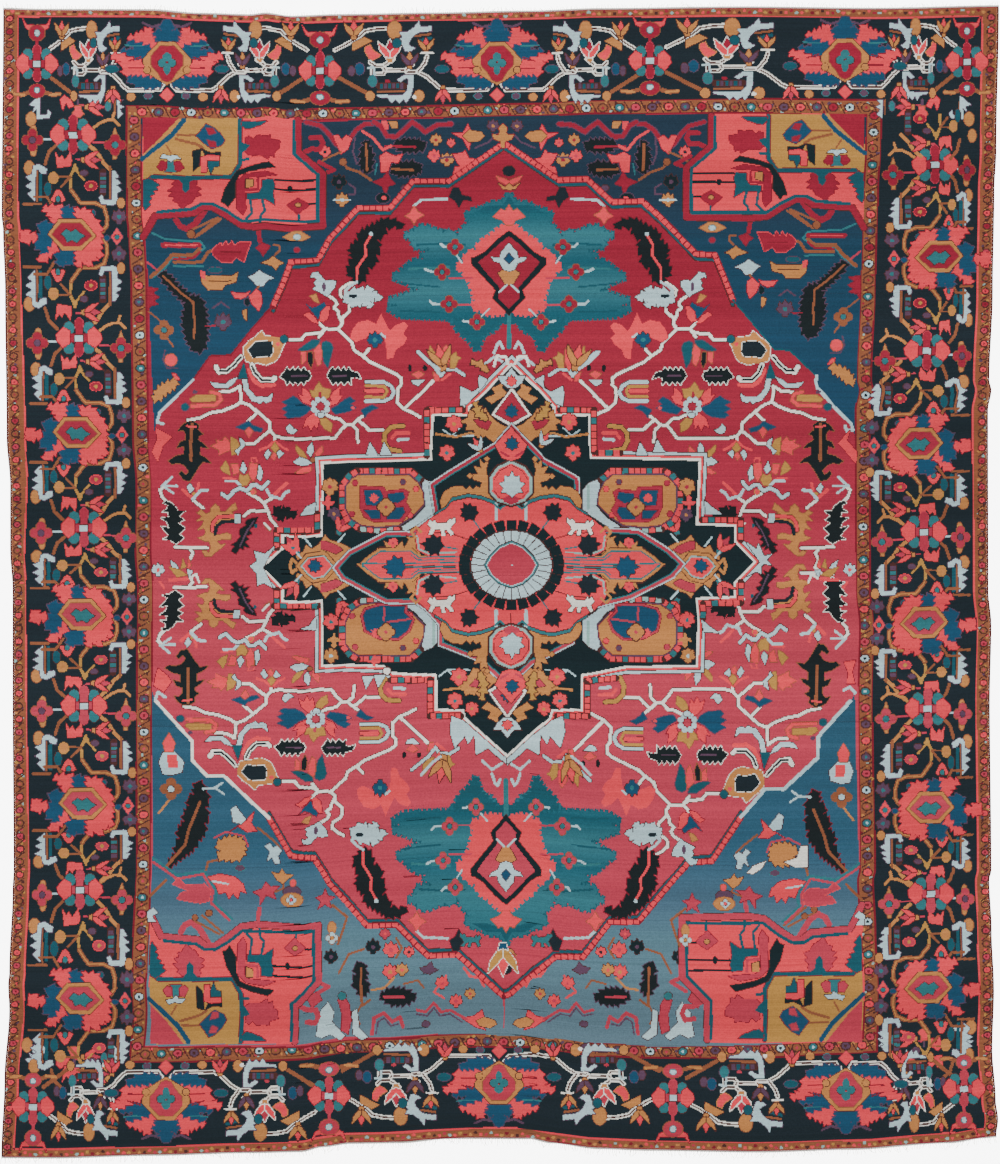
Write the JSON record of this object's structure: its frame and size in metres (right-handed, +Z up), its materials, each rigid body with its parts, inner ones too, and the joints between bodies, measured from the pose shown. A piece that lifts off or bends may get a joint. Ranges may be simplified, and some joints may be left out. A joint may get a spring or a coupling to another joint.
{
  "type": "persian rug",
  "caption": "Large rectangular hand-knotted pile rug with uneven edges, overcast side cords and a short cotton fringe along each end.",
  "frame": {"origin": "middle of the floor under the rug and its fringes", "axes": "+Z up out of the pile, +Y along the rug towards the end with the shorter fringe, +X across it"},
  "size_m": [2.9966, 3.5117, 0.0113],
  "materials": {
    "pile": "short cut wool pile, crimson, navy, blue, coral and ivory, matt with a slight sheen",
    "side_binding": "overcast wool, matt",
    "warp_cotton": "undyed cotton yarn, matt"
  },
  "bodies": {
    "root": {"rug_body": "pile", "selvedge_left": "side_binding", "selvedge_right": "side_binding", "fringe_top": "warp_cotton", "fringe_bottom": "warp_cotton"}
  },
  "joints": []
}
